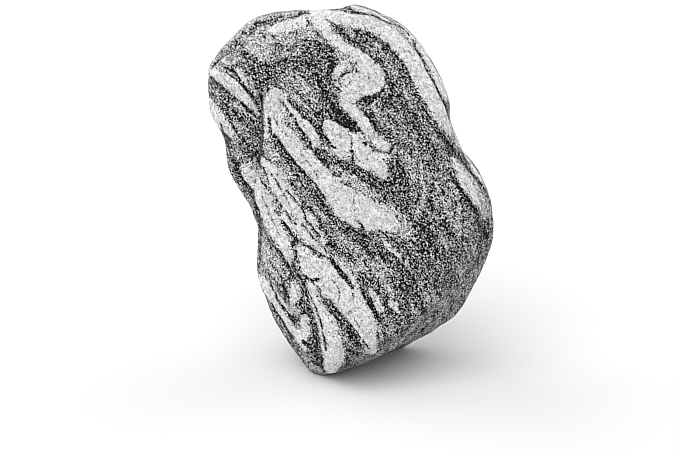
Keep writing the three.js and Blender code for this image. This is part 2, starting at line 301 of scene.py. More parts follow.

# Patches and streaks darker than the plain rock, and painted shade low on the right and on the recess wall
DIM_BANDS: dict[str, Path] = {
    "under the crown": (
        (-67.5, 207, 2), (-63.5, 203.5, 3.2), (-59, 199, 2.6), (-53, 194.5, 3.2), (-48, 197, 4.2),
        (-42.5, 199, 4.6), (-36.5, 200.5, 4.6), (-29.5, 199.5, 4.2),
    ),
    "right of the crown": (
        (-31, 212.5, 3.2), (-25.5, 209, 5.2), (-20.5, 206, 5.9), (-16, 202, 4.6), (-20, 199.5, 5.2),
        (-27, 201, 4.6),
    ),
    "left of the fold": (
        (-17.5, 197, 3.9), (-17, 191.5, 3.9), (-16, 185, 3.2), (-13.5, 180, 2.9), (-5, 166, 3.9),
        (-1.5, 162, 3.6), (-1, 159, 2.6),
    ),
    "streak under the crown": ((-24.5, 194, 1.3), (-18.5, 184.5, 2)),
    "over the slab": ((-53.5, 187, 3.9), (-49, 188.5, 2.6)),
    "wedge start": ((-16.5, 229.5, 1), (-12.5, 225.5, 2), (-8, 222.5, 1.7)),
    "wedge top": ((4.5, 218.5, 2.9), (8, 217.5, 3.6), (11.5, 215.5, 3.6)),
    "wedge foot": ((-3.5, 214.5, 2.6), (0.5, 212.5, 3.6), (9, 205, 2), (13, 202.5, 2)),
    "wedge end": ((17, 212, 2.6), (21, 208, 3.6), (25.5, 203.5, 3.6), (28.5, 199, 3.2)),
    "beside the rim band": (
        (30.5, 198, 2.3), (33.5, 192, 2.6), (38.5, 181, 2.3), (45.5, 169, 2.6), (48, 163.5, 2.6),
        (54, 152, 2),
    ),
    "fold foot": ((3.5, 176, 1.6), (7.5, 178, 2.3), (11.5, 178.5, 2.3), (15.5, 180.5, 1.6)),
    "right of the neck": ((11, 167.5, 1.6), (14.5, 161, 2.6), (16, 157, 2)),
    "beside the middle patch": ((17.5, 155.5, 2), (20, 153, 1.6)),
    "over the lens": (
        (16.5, 118.5, 2.3), (21.5, 115, 3), (26.5, 113, 3.6), (27, 120.5, 2.3), (31.5, 117, 3.6),
        (32, 112, 2.9),
    ),
    "beside the slab strip": ((-25.5, 147, 2), (-22.5, 143, 2.9), (-18.5, 141, 2)),
    "left of the left patch": (
        (-26, 162.5, 2.3), (-23.5, 159.5, 3.2), (-21.5, 155.5, 3.2), (-21, 152, 2.6),
    ),
    "slab lower edge": ((-48.5, 152, 2), (-42.5, 143.5, 2), (-32, 130.5, 0.9)),
    "under the slab": ((-23, 121, 1.3), (-17.5, 110.5, 1.3), (-8, 99, 1), (-2, 93.5, 0.8), (9, 87.5, 1.3)),
    "right of the lens": ((41.5, 96.5, 2), (46.5, 92.5, 3.2), (49, 87, 2.9)),
    "recess": ((-68.5, 147, 2.6), (-64, 143, 3.6), (-59.5, 142, 2.9)),
    # Painted shade on the recess wall, at the foot of the ledge
    "painted shade on the recess wall": ((-59.5, 162.5, 2.6), (-59.5, 157.5, 3.6), (-58.5, 152, 3.2)),
    "over the recess": ((-88, 191, 2), (-84, 186.5, 3.2), (-79.5, 182.5, 3.9), (-70, 176, 2)),
    "left flank": (
        (-80, 153.5, 1.7), (-77.5, 147, 2.3), (-76.5, 140.5, 2.6), (-72, 127, 2.6), (-62, 109, 2.3),
        (-60.5, 103.5, 2.2), (-59, 98.5, 2), (-59, 92.5, 1.6),
    ),
    "between the spots": ((-44, 58, 2.2), (-42.5, 47, 2)),
    "right of the spots": (
        (-31.5, 45.5, 1.2), (-26.5, 37.5, 2), (-24, 30, 2.6), (-21.5, 16.5, 2.6), (-22.5, 9.5, 3.2),
        (-23, 4, 2.9),
    ),
    "under the lowest spot": ((-29.5, 13, 2.6), (-26, 8, 3.2)),
    "second line shade": ((-7.5, 32.5, 0.6), (-4, 27.5, 1.2), (-0.5, 22.5, 1.3), (1, 16, 1.3)),
    # Partly darker rock and partly painted shade, where the lower right lies in shade
    "right foot": (
        (77, 103.5, 2), (79.5, 98.5, 2.9), (83, 93, 3.9), (85.5, 87.5, 4.6), (83.5, 81, 4.6), (76, 69, 2.9),
        (73, 61.5, 2.6),
    ),
    "wedge": ((13, 60.5, 0.8), (21, 51, 1.3)),
    "wedge spot": ((20.5, 46, 2.6), (22, 42, 2)),
    "right of the lower band": ((3.5, 57, 2.3), (6, 54, 2.9), (8, 50, 2.9), (14.5, 38.5, 2)),
    "right of the fold nose": ((22, 191.5, 2.3), (23, 185, 3.2), (23, 178.5, 3.2), (19.5, 175.5, 2.6)),
    # Painted shade: these broad dim streaks darken the lower right, where the stone lies in shade
    "broad painted shade low on the right": ((40, 89.5, 2.6), (44.5, 79, 4.2), (52, 67, 4.2), (59, 55, 3.6)),
    "second broad painted shade low on the right": (
        (44, 103.5, 2), (46.5, 97, 3.2), (52, 84, 3.9), (67, 58.5, 3.2),
    ),
    "third broad painted shade low on the right": ((61, 92, 1.3), (67, 80, 2.2)),
    "broad painted shade low in the middle": ((20.5, 87, 1.3), (35.5, 57, 1.6), (42, 46, 2)),
    "right of the rim band": ((54.5, 152.5, 2.3), (59, 146.5, 3.2), (64.5, 135, 1.3)),
    "under the left patch": ((-20, 131, 2), (-14.5, 129, 2.6), (-9.5, 129, 2)),
    "right of the middle patch": ((24, 138, 1.6), (24.5, 133.5, 2)),
    "crown edge shade": ((-41.5, 207, 1.3), (-38.5, 209, 1.6), (-35.5, 212.5, 1.3)),
    "crown shade": ((-48.5, 210.5, 1.3), (-45, 207, 1.3)),
    "right of the rim streak": ((30, 176.5, 1), (34.5, 170, 2.3), (38, 163, 2.9), (45.5, 150, 1.3)),
    "under the fold nose": ((5.5, 175.5, 1.3), (9.5, 177, 2.6), (14, 180, 2.9), (20.5, 187.5, 2)),
    "over the right foot": ((19.5, 49, 2.6), (25.5, 45, 3.2), (32, 44, 3.2), (37.5, 47.5, 2.6)),
    "over the left patch": ((-21.5, 164.5, 2.3), (-16, 165.5, 2.9), (-10.5, 165, 2.6)),
    "streak left of the middle": (
        (26.5, 153.5, 2), (30.5, 149.5, 3.2), (34.5, 145.5, 2.9), (36.5, 141.5, 1.3),
    ),
    "between the patches and the lens": ((11, 126, 2), (16, 122, 2.9), (20, 117.5, 2.3)),
    # Painted shade: a broad dim streak that darkens the lower right, where the stone lies in shade
    "broad painted shade near the right foot": (
        (31.5, 85, 1.3), (36, 76.5, 2.6), (41, 66, 3.6), (47.5, 56.5, 3.2),
    ),
    "left edge low": ((-59.5, 87.5, 1.3), (-60.5, 81, 1.6), (-60, 74, 1.6), (-61, 67.5, 1)),
    "left edge high": ((-76.5, 145.5, 1), (-79, 140.5, 1)),
    # Painted shade: darkens the lower right flank, where the stone lies in shade
    "right flank": ((62.5, 81.5, 1.3), (67, 75.5, 2.2), (70.5, 68, 1.7)),
}

# Dark lines, seams and specks, and a painted shadow along the ledge
DARK_BANDS: dict[str, Path] = {
    "rim line": (
        (-2, 237.5, 0.5), (0, 234.5, 1), (3.5, 233, 0.6), (13, 232.5, 0.6), (17, 230.5, 0.6),
        (30.5, 225.5, 0.2), (34, 223, 0.2), (37, 219.5, 0.3), (39, 216, 0.4), (41, 208, 0.6),
        (45, 201.5, 0.7), (46, 197.5, 0.7), (51.5, 185.5, 0.8), (59.5, 171.5, 1), (61, 167, 0.9),
    ),
    "right rim line": (
        (54.5, 156, 1.2), (63, 146, 2), (68.5, 140, 1.1), (78.5, 128, 0.7), (84.5, 119.5, 0.6),
        (86.5, 115, 0.5),
    ),
    "lens line": ((59, 133.5, 0.6), (63.5, 125, 0.8), (73, 112, 1.1), (78, 103.5, 1.3)),
    "over the ledge band": (
        (-81, 198, 0.3), (-74, 195.5, 0.9), (-69, 187, 0.9), (-63, 179.5, 0.9), (-56, 167.5, 1),
    ),
    "left spot": ((-81.5, 206, 0.5), (-86.5, 200.5, 1)),
    "under the ledge band": ((-88.5, 191.5, 1.3), (-85, 188.5, 0.8), (-77, 181.5, 0.8)),
    "foot of the ledge band": ((-69.5, 175, 1), (-67, 172.5, 1.3), (-61, 166.5, 0.9)),
    "recess line": ((-83, 174, 0.8), (-79, 170.5, 0.5), (-76, 161.5, 0.5), (-71, 153.5, 0.3)),
    "left edge": ((-82.5, 162, 0.6), (-82.5, 157.5, 0.8), (-79, 148, 0.8)),
    "recess spots": ((-67.5, 150, 0.6), (-66, 145.5, 0.8), (-69, 143, 0.6)),
    "lower recess spots": ((-64.5, 140.5, 1.4), (-58.5, 144, 1), (-58.5, 140, 1.4)),
    # Painted shadow: a dark line along the ledge's brink, where the recess wall lies in shade
    "painted shadow along the ledge": (
        (-56.5, 181, 0.6), (-56.5, 152, 1.3), (-57.5, 142, 1), (-59, 138, 1), (-57.5, 133.5, 0.8),
    ),
    "slab inner line": ((-51.5, 164.5, 0.6), (-50.5, 155.5, 1)),
    "slab lower line": (
        (-49, 154, 1), (-46, 150.5, 1), (-41.5, 143, 0.9), (-32.5, 132, 1), (-23.5, 122.5, 0.6),
        (-18, 114.5, 0.5),
    ),
    "slab strip line": (
        (-45, 176.5, 0.4), (-35, 162.5, 0.7), (-34, 159, 0.9), (-29, 152.5, 1), (-27, 149.5, 1),
        (-26.5, 145.5, 0.6),
    ),
    "beside the strip": ((-39.5, 176.5, 0.9), (-37.5, 173, 0.8), (-33.5, 169, 0.9), (-29.5, 164.5, 0.8)),
    "fold core": ((-7.5, 191, 0.3), (1.5, 196, 0.1)),
    "lower fold core": ((-11.5, 185, 0.6), (-7.5, 182, 0.6)),
    "fold foot line": (
        (-1.5, 173.5, 0.2), (1.5, 174, 0.3), (4.5, 176.5, 0.6), (7.5, 178, 1), (11.5, 178.5, 0.5),
    ),
    "right of the neck line": ((12, 164, 0.6), (14, 159.5, 1.2), (16, 158.5, 1)),
    "patch split": ((-1, 151.5, 0.3), (-1, 147, 0.5), (0, 138, 0.4), (-1, 135, 0.6)),
    "neck foot line": ((10, 152, 0.3), (13.5, 144.5, 0.4), (17, 143, 0.3), (21.5, 143, 0.4)),
    "neck foot speck": ((6, 149, 0.5), (8, 148, 0.7)),
    "line under the patches": (
        (-20, 138, 0.6), (-15.5, 137.5, 0.6), (-10.5, 135, 0.6), (-5, 133.5, 0.7), (0, 133, 0.8),
        (5.5, 131.5, 0.6), (10.5, 130, 0.6), (15, 126.5, 0.6), (24, 123, 0.6),
    ),
    "second line under the patches": ((-1.5, 132.5, 0.5), (1.5, 129, 0.6), (14.5, 120.5, 0.8)),
    "third line under the patches": ((7, 130, 0.4), (12, 126.5, 0.5), (26, 116, 0.5)),
    "slab mottle line": ((-7.5, 124.5, 0.5), (-4.5, 122, 0.5), (-1.5, 123.5, 0.5)),
    "under the lens": ((-5, 98.5, 0.3), (3.5, 90.5, 0.8), (8.5, 88, 0.8)),
    "lens notch": ((3, 99, 0.6), (6.5, 94.5, 0.8)),
    "lens tail line": ((15.5, 93.5, 0.3), (23, 88, 0.5), (26.5, 87, 0.5)),
    "right of the lens line": (
        (38.5, 99, 0.4), (46.5, 92.5, 2.1), (49, 89.5, 2.3), (49, 85.5, 2), (48, 81.5, 1.3),
    ),
    "first line of the left bands": ((-56, 133.5, 0.4), (-53, 127.5, 0.4)),
    "second line of the left bands": ((-57.5, 125.5, 0.5), (-44, 108, 0.3)),
    "third line of the left bands": ((-48.5, 105.5, 0.3), (-46.5, 103, 0.3)),
    "fourth line of the left bands": ((-42, 105.5, 0.5), (-38.5, 99.5, 0.6), (-35.5, 97, 0.5)),
    "fifth line of the left bands": (
        (-41.5, 119, 0.5), (-36, 112.5, 0.6), (-31, 105.5, 0.5), (-28.5, 98, 0.5),
    ),
    "sixth line of the left bands": ((-30, 110, 0.3), (-22.5, 101.5, 0.6), (-18, 94, 0.5)),
    "seventh line of the left bands": ((-31.5, 97, 0.5), (-22, 85.5, 0.5)),
    "eighth line of the left bands": ((-27.5, 97, 0.5), (-20.5, 89.5, 0.5)),
    "line to the lower band": (
        (-43.5, 98, 0.9), (-40.5, 94.5, 0.9), (-38.5, 90.5, 1), (-36, 87.5, 0.7), (-33, 85, 0.4),
        (-14.5, 74.5, 0.4),
    ),
    "spot between the left bands": ((-38.5, 85.5, 1), (-36.5, 83.5, 1)),
    "left of the first left band": ((-55, 88.5, 0.5), (-52, 84.5, 0.6), (-45, 77.5, 1), (-42, 69, 0.8)),
    "left flank line": (
        (-75.5, 137, 1.2), (-72.5, 131.5, 1.2), (-70.5, 126.5, 1.2), (-64, 118.5, 1.3), (-63.5, 114, 1),
        (-59.5, 106, 1), (-59, 89.5, 0.6),
    ),
    "long line": (
        (-36, 79.5, 0.6), (-36, 76, 0.7), (-37.5, 72, 0.9), (-37, 68, 1), (-30.5, 58, 0.8),
        (-29, 54.5, 0.3), (-27, 50.5, 0.6), (-25, 46, 0.3), (-23, 42, 0.7), (-21.5, 37.5, 0.3),
        (-20, 32, 0.9), (-19, 26, 0.4), (-17.5, 20, 1), (-17, 14.5, 0.6),
    ),
    "beside the long line": ((-41.5, 72.5, 0.8), (-39, 66, 0.7), (-31.5, 54, 0.4), (-29.5, 49.5, 0.2)),
    "notch": ((-30, 63, 1), (-27.5, 61, 1.2), (-25, 60.5, 0.8), (-22, 61.5, 0.9)),
    "second line": ((-20.5, 50.5, 0.3), (-5.5, 30.5, 0.4)),
    "dark right of the lower band": ((5, 54.5, 0.9), (8.5, 48.5, 1.6), (12.5, 41.5, 1.3), (18, 33, 1)),
    "wedge line": ((13, 54, 0.6), (16, 52, 0.8)),
    "lower left line": (
        (-52.5, 56, 0.5), (-49.5, 51, 0.6), (-48.5, 47, 0.6), (-46, 43, 0.9), (-39.5, 34.5, 0.6),
        (-37, 29.5, 0.6),
    ),
    "lowest left line": ((-52.5, 43.5, 0.5), (-39.5, 19.5, 0.8)),
    "speckle of the lower left": ((-45.5, 57.5, 0.6), (-43.5, 54, 1), (-41, 49, 0.8)),
    "foot": ((-25.5, 4, 1.3), (-22.5, 2, 1.6), (-19.5, 6.5, 1.2)),
    "streak line": ((24, 78, 0.6), (26.5, 74, 0.8), (34, 66.5, 0.7), (38, 62, 0.6)),
    "right edge of the lens tail": ((78.5, 99.5, 1.3), (85.5, 89, 1.6)),
    "hollow left of the neck": ((-12.5, 172, 1.7), (-7.5, 165, 2.6), (-4, 161, 2.6), (0, 158.5, 1.8)),
    "fold core speck": ((1, 193.5, 0.2), (3.5, 194, 0.2)),
    "notch left of the fold": ((-14.5, 201.5, 1.3), (-12, 199, 1.4), (-15.5, 192.5, 1)),
    "dark left of the fold": ((-23, 194, 0.6), (-20.5, 189.5, 1.3), (-17.5, 180.5, 1.2), (-12.5, 173, 1.3)),
    "crown specks": ((-29, 230.5, 0.6), (-27.5, 226, 0.5)),
    "lower crown specks": ((-24.5, 221.5, 0.6), (-19.5, 217, 0.6)),
    "crown hole": ((-36, 221.5, 0.5), (-34, 218.5, 0.5)),
    "outer rim line": ((16, 234.5, 0.3), (30, 226.5, 0.3)),
    "inner slab specks": ((-42.5, 156, 0.3), (-40.5, 153, 0.4)),
    "upper inner slab specks": ((-40, 160.5, 0.6), (-37.5, 160, 0.5)),
    "lower inner slab specks": ((-32, 152.5, 0.5), (-29, 148.5, 0.6), (-28.5, 145.5, 0.5)),
    "over the lower band": ((-13, 73, 1.2), (-5.5, 63, 1.7), (0, 56, 0.9)),
    "left edge of the left patch": (
        (-20, 159.5, 0.6), (-18.5, 155, 0.8), (-13.5, 147, 0.8), (-10.5, 145.5, 0.5),
    ),
    "rim specks": ((-63.5, 226, 0.6), (-59.5, 229.5, 0.7), (-54.5, 228.5, 0.6), (-50.5, 226.5, 0.5)),
    "left rim specks": ((-69.5, 222, 0.8), (-66, 219, 0.6), (-64.5, 221.5, 0.5)),
    "crown streaks": ((-57.5, 221.5, 0.5), (-55, 217.5, 0.6)),
    "second crown streak": ((-51.5, 220.5, 0.5), (-49, 217, 0.5)),
    "third crown streak": ((-48.5, 214, 0.5), (-45, 212, 0.6), (-44, 208.5, 0.5)),
    "fourth crown streak": ((-50, 208.5, 0.5), (-48, 205, 0.6)),
    "far right band line": (
        (57.5, 249.5, 1), (72.5, 231.5, 0.8), (87, 210, 0.9), (98.5, 184, 0.8), (106, 159.5, 1),
    ),
    "lower right side line": ((101, 107.5, 0.8), (112, 86, 1), (117, 65.5, 0.9), (118, 45, 0.8)),
    "dark inside the fold": ((-2.5, 200.5, 0.3), (0, 198, 0.6), (1.5, 195, 0.3)),
    "lens crack": ((0.5, 115, 0.1), (0, 110.5, 0.3), (1, 105.5, 0.1)),
    "dark right of the spots": ((-24.5, 30, 0.9), (-23, 16, 1), (-23.5, 8.5, 1.6)),
    "dark second line": ((-7.5, 34.5, 0.5), (-4.5, 29.5, 1), (-2, 24.5, 1.1), (0.5, 20.5, 0.5)),
    "dark foot of the lower band": ((-3, 14, 1), (1.5, 12, 1.4), (5, 11.5, 1)),
    "dark under the lowest spot": ((-32, 19, 0.9), (-28, 15, 1.2), (-26, 10.5, 1)),
    "dark between the spots": ((-44, 58.5, 0.6), (-43.5, 52.5, 0.9), (-43.5, 47.5, 0.6)),
    "first streak of the first left band": ((-56, 115, 0.1), (-50.5, 101.5, 0.1)),
    "second streak of the first left band": ((-53, 105, 0.1), (-45.5, 89.5, 0.1)),
    "streak of the second left band": ((-51.5, 130.5, 0.1), (-48, 126, 0.3), (-39, 109.5, 0.2)),
    "streak of the lower band": ((-13, 61.5, 0.1), (-10, 57, 0.3), (-8, 52, 0.3), (-9.5, 46.5, 0.1)),
    "second streak of the lower band": ((-2, 61, 0.1), (0, 50.5, 0.3), (-0.5, 45.5, 0.1)),
    "third streak of the lower band": ((-19.5, 59, 0.1), (-13, 53, 0.1)),
    "streak of the slab band": ((-50.5, 171.5, 0.1), (-46.5, 160.5, 0.3), (-43.5, 155.5, 0.1)),
    "second streak of the slab band": ((-32.5, 143, 0.1), (-28.5, 138, 0.3), (-21.5, 127, 0.1)),
    "dark right of the lens": ((47.5, 112.5, 0.6), (49, 108.5, 1), (49.5, 105, 0.6)),
    "specks under the crown": (
        (-45.5, 202, 0.3), (-41.5, 200, 0.6), (-37, 202, 0.5), (-32.5, 199, 0.6), (-28, 201, 0.4),
    ),
    "lower specks under the crown": ((-47.5, 196, 0.2), (-42.5, 196.5, 0.5), (-31.5, 195, 0.5)),
    "under the fold nose specks": ((6.5, 175, 0.5), (9.5, 174, 1), (12.5, 176, 0.8), (19, 183, 0.3)),
    "over the left patch": ((-17.5, 166, 0.3), (-10, 163, 1), (-6.5, 159.5, 0.9)),
    "specks low in the middle": ((34.5, 87, 0.1), (43, 79, 0.3), (46, 74.5, 0.1)),
    "wedge specks": ((5.5, 209, 0.2), (9.5, 206, 0.5), (18, 200, 0.2)),
    "fourth streak of the lower band": ((-2, 41.5, 0.1), (3.5, 31, 0.3)),
    "specks right of the crown": (
        (-33, 210.5, 0.2), (-29.5, 205.5, 0.4), (-32.5, 201.5, 0.3), (-28.5, 199, 0.5), (-25, 201.5, 0.3),
        (-26, 194.5, 0.4), (-22.5, 191.5, 0.4), (-18.5, 185.5, 0.3),
    ),
    "specks at the ledge foot": ((-64, 165.5, 0.3), (-58.5, 152, 0.3)),
    "left edge specks": (
        (-57.5, 87, 0.3), (-59.5, 84.5, 0.6), (-59.5, 79, 0.5), (-61, 75.5, 0.5), (-59.5, 72.5, 0.4),
    ),
    "specks of the lower left": ((-52.5, 71.5, 0.3), (-44, 60, 0.4)),
    "specks of the lower band": ((-27.5, 61.5, 0.3), (-19.5, 54, 0.3), (-22.5, 50, 0.2)),
    "line beside the second line": ((-5, 36.5, 0.2), (10, 16, 0.5)),
    "specks right of the crown band": ((-13, 225.5, 0.3), (-5.5, 218, 0.3)),
}

# Where two kinds of rock cross, the later one is seen, but dim rock and the painted shade among it never hide
# a pale band
BANDS = {
    Rock.PALE: PALE_BANDS,
    Rock.MOTTLED: MOTTLED_BANDS,
    Rock.DIM: DIM_BANDS,
    Rock.DARK: DARK_BANDS,
}

# The broad bands and seams of the form itself, with their rise
SEAMS = {
    "slab band": Seam(2.8, (
        (-48, 180, 5), (-47, 167, 8), (-38, 148, 8), (-18, 125, 9), (4, 105, 12), (24, 94, 7),
    )),
    "under the slab": Seam(-1.8, ((-52, 153, 5), (-39, 135, 6), (-27, 115, 6), (-14, 99, 6), (2, 86, 5))),
    "fold": Seam(2.4, ((-14, 220, 5), (-2, 207, 6), (9, 194, 9), (0, 183, 9), (4, 168, 6), (10, 158, 6))),
    "hollow left of the fold": Seam(-1.8, ((-23, 195, 7), (-20, 178, 7), (-11, 166, 6))),
    "patches": Seam(1.8, ((-9, 154, 8), (4, 145, 8), (16, 134, 8))),
    "rim band": Seam(1.6, (
        (-14, 233, 6), (5, 228, 7), (21, 220, 8), (33, 205, 8), (42, 190, 8), (50, 175, 7), (59, 160, 6),
    )),
    "rim seam": Seam(-1.6, (
        (3, 236, 4), (22, 230, 4), (40, 217, 4), (48, 199, 4), (56, 181, 4), (62, 166, 4),
    )),
    "right seam": Seam(-1.7, ((50, 156, 5), (61, 146, 5), (73, 132, 5), (84, 117, 5))),
    "ledge band": Seam(1.4, ((-88, 197, 6), (-76, 188, 7), (-62, 173, 6))),
    "left bands": Seam(1.4, ((-57, 118, 6), (-50, 98, 6), (-40, 80, 5))),
    "lower band": Seam(2.4, ((-31, 71, 6), (-19, 64, 9), (-6, 52, 10), (9, 25, 8))),
    "long seam": Seam(-1.8, ((-42, 71, 5), (-31, 57, 5), (-26, 40, 5), (-22, 20, 5))),
    "second lower band": Seam(1.6, ((-21, 45, 5), (-16, 30, 6.5), (-11, 12, 8))),
}

# The boulder's outline, (across, height), round from its top by the right
OUTLINE = (
    (2, 240.3), (9, 238.5), (20, 233), (30.5, 226.5), (41.2, 217.3), (50.2, 204.5), (58.2, 189.6),
    (62.4, 177.3), (63.2, 166), (67.5, 154), (73.8, 141), (83, 130), (89, 118), (92, 105), (95, 92),
    (96, 78), (93, 62), (86, 45), (77, 29), (66, 13), (54, 0), (38, -10), (20, -14), (2, -15), (-15, -12),
    (-25, -4), (-33, 5), (-41, 15), (-50, 30), (-56, 45), (-60, 59), (-61.5, 72), (-61, 86), (-61.2, 98),
    (-65.7, 111.5), (-71.8, 122), (-77.8, 133), (-80.8, 143), (-81.5, 153), (-85.2, 163), (-90.8, 173),
    (-93, 183), (-93, 193), (-90.5, 202), (-88.5, 209), (-82.5, 216.5), (-71, 225.5), (-58, 233),
    (-40, 236.5), (-22, 236), (-10, 237), (-4, 238.5),
)

# The flats worn on the boulder: azimuth, tilt, distance from the heart, softness
FLATS = {
    "front face": Flat(-84, 5, 56, 12),
    "front foot": Flat(-104, -46, 103, 8),
    "right foot": Flat(-57, -50, 100, 6),
    "gap under the right foot": Flat(-41, -60, 102.5, 3),
    "crown, front left": Flat(-105, 46, 106, 14),
    "right shoulder": Flat(-40, 22, 91, 14),
    "lower left flank": Flat(-140, -20, 73, 12),
    "lower right flank": Flat(-35, -28, 88, 16),
    "back face": Flat(78, 8, 57, 14),
    "back left flank": Flat(146, 12, 82, 12),
    "back right flank": Flat(32, -6, 84, 14),
    "crown, back": Flat(96, 52, 104, 16),
}

# The brink of the ledge, (across, height), from its top
LEDGE = (
    (-40, 212), (-47, 203), (-51, 196), (-53, 183), (-55, 165), (-56, 153), (-58, 139), (-61, 125),
    (-62, 108),
)

# The long gentle waves of the worn surface: height, length, phase, run
WAVES = (
    Wave(0.9, 74, 0.4, (0.6, 0.3, 0.74)),
    Wave(0.8, 58, 2.1, (-0.7, 0.5, 0.5)),
    Wave(0.7, 47, 4.4, (0.2, -0.8, 0.56)),
    Wave(0.5, 36, 1.3, (0.85, 0.4, -0.34)),
    Wave(0.45, 29, 5.2, (-0.3, 0.45, 0.84)),
    Wave(0.35, 23, 3.0, (0.5, -0.6, 0.62)),
)


def smooth(low: float, high: float, value: np.ndarray) -> np.ndarray:
    """Share from 0 at low to 1 at high, eased at both ends."""
    share = np.clip((value - low) / (high - low), 0, 1)
    return share * share * (3 - 2 * share)


def soft_excess(value: np.ndarray, soft: float) -> np.ndarray:
    """How far over 0 each value is, rounded off within soft of 0."""
    eased = (value + soft) ** 2 / (4 * soft)
    return np.where(value <= -soft, 0, np.where(value >= soft, value, eased))


def nearest_on_path(path: Path, across: np.ndarray, along: np.ndarray) -> list[tuple[np.ndarray, np.ndarray]]:
    """Distance to each stretch of a centre-line, and the half-width there.

    Args:
        path: The centre-line.
        across: Each place's distance across the bands' own sheet.
        along: Each place's distance along it.

    Returns:
        A (distance, half-width) pair of arrays for each stretch between two points of the path.
    """
    found = []
    for (x0, z0, half0), (x1, z1, half1) in zip(path, path[1:]):
        length2 = (x1 - x0) ** 2 + (z1 - z0) ** 2
        share = np.clip(((across - x0) * (x1 - x0) + (along - z0) * (z1 - z0)) / length2, 0, 1)
        distance = np.hypot(across - x0 - share * (x1 - x0), along - z0 - share * (z1 - z0))
        found.append((distance, half0 + share * (half1 - half0)))
    return found


@dataclass(frozen=True)
class Banding:
    """The sheet of bands that runs through the boulder from its front face, and dips to the back."""

    dip: float = 0.28  # how far the bands go down for each mm further back
    drift: float = 0.6  # how far they move to the left for each mm further back, behind the front half
    drift_from: float = 10
    drift_soft: float = 15
    draw_out: float = 0.35  # how far they are drawn out lengthwise at the back
    draw_out_to: float = 60
    lengthwise: tuple[float, float] = (0.56, -0.83)  # the way that most bands run, across and along the sheet
    middle: tuple[float, float] = (0, 118)
    wander: Wave = Wave(4, 96, 0.8)  # how they swing from side to side at the back
    reach: float = 40.0  # furthest outside a band that its depth is told
    seam_edge: Span = (0.3, 1.4)  # shares of its half-width over which a seam's rise fades

    def place(self, points: np.ndarray) -> tuple[np.ndarray, np.ndarray]:
        """Lays points out on the sheet.

        Args:
            points: The points, in millimetres.

        Returns:
            Each point's place across the sheet, and its place along it.
        """
        drift = self.drift * soft_excess(points[:, 1] - self.drift_from, self.drift_soft)
        back = smooth(0, self.draw_out_to, points[:, 1])
        along = points[:, 2] + self.dip * points[:, 1]
        across = points[:, 0] + drift + back * self.wander.at(along)
        run = (across - self.middle[0]) * self.lengthwise[0] + (along - self.middle[1]) * self.lengthwise[1]
        drawn = self.draw_out * back * run
        return across - drawn * self.lengthwise[0], along - drawn * self.lengthwise[1]

    def inside(self, rock: Rock, points: np.ndarray) -> np.ndarray:
        """How deep each point lies inside the bands of one kind of rock.

        Args:
            rock: The kind of rock.
            points: The points, in millimetres.

        Returns:
            Millimetres inside the nearest edge of such a band, less than 0 outside all of them.
        """
        across, along = self.place(points)
        depth = np.full(len(points), -self.reach)
        for path in BANDS[rock].values():
            for distance, half in nearest_on_path(path, across, along):
                np.maximum(depth, half - distance, out=depth)
        return depth

    def rise(self, points: np.ndarray) -> np.ndarray:
        """How far the surface stands out for the broad bands and seams.

        Args:
            points: The points, in millimetres.

        Returns:
            Millimetres outwards at each point.
        """
        across, along = self.place(points)
        height = np.zeros(len(points))
        for seam in SEAMS.values():
            share = np.zeros(len(points))
            for distance, half in nearest_on_path(seam.path, across, along):
                np.maximum(share, 1 - smooth(*self.seam_edge, distance / half), out=share)
            height += seam.rise * share
        return height


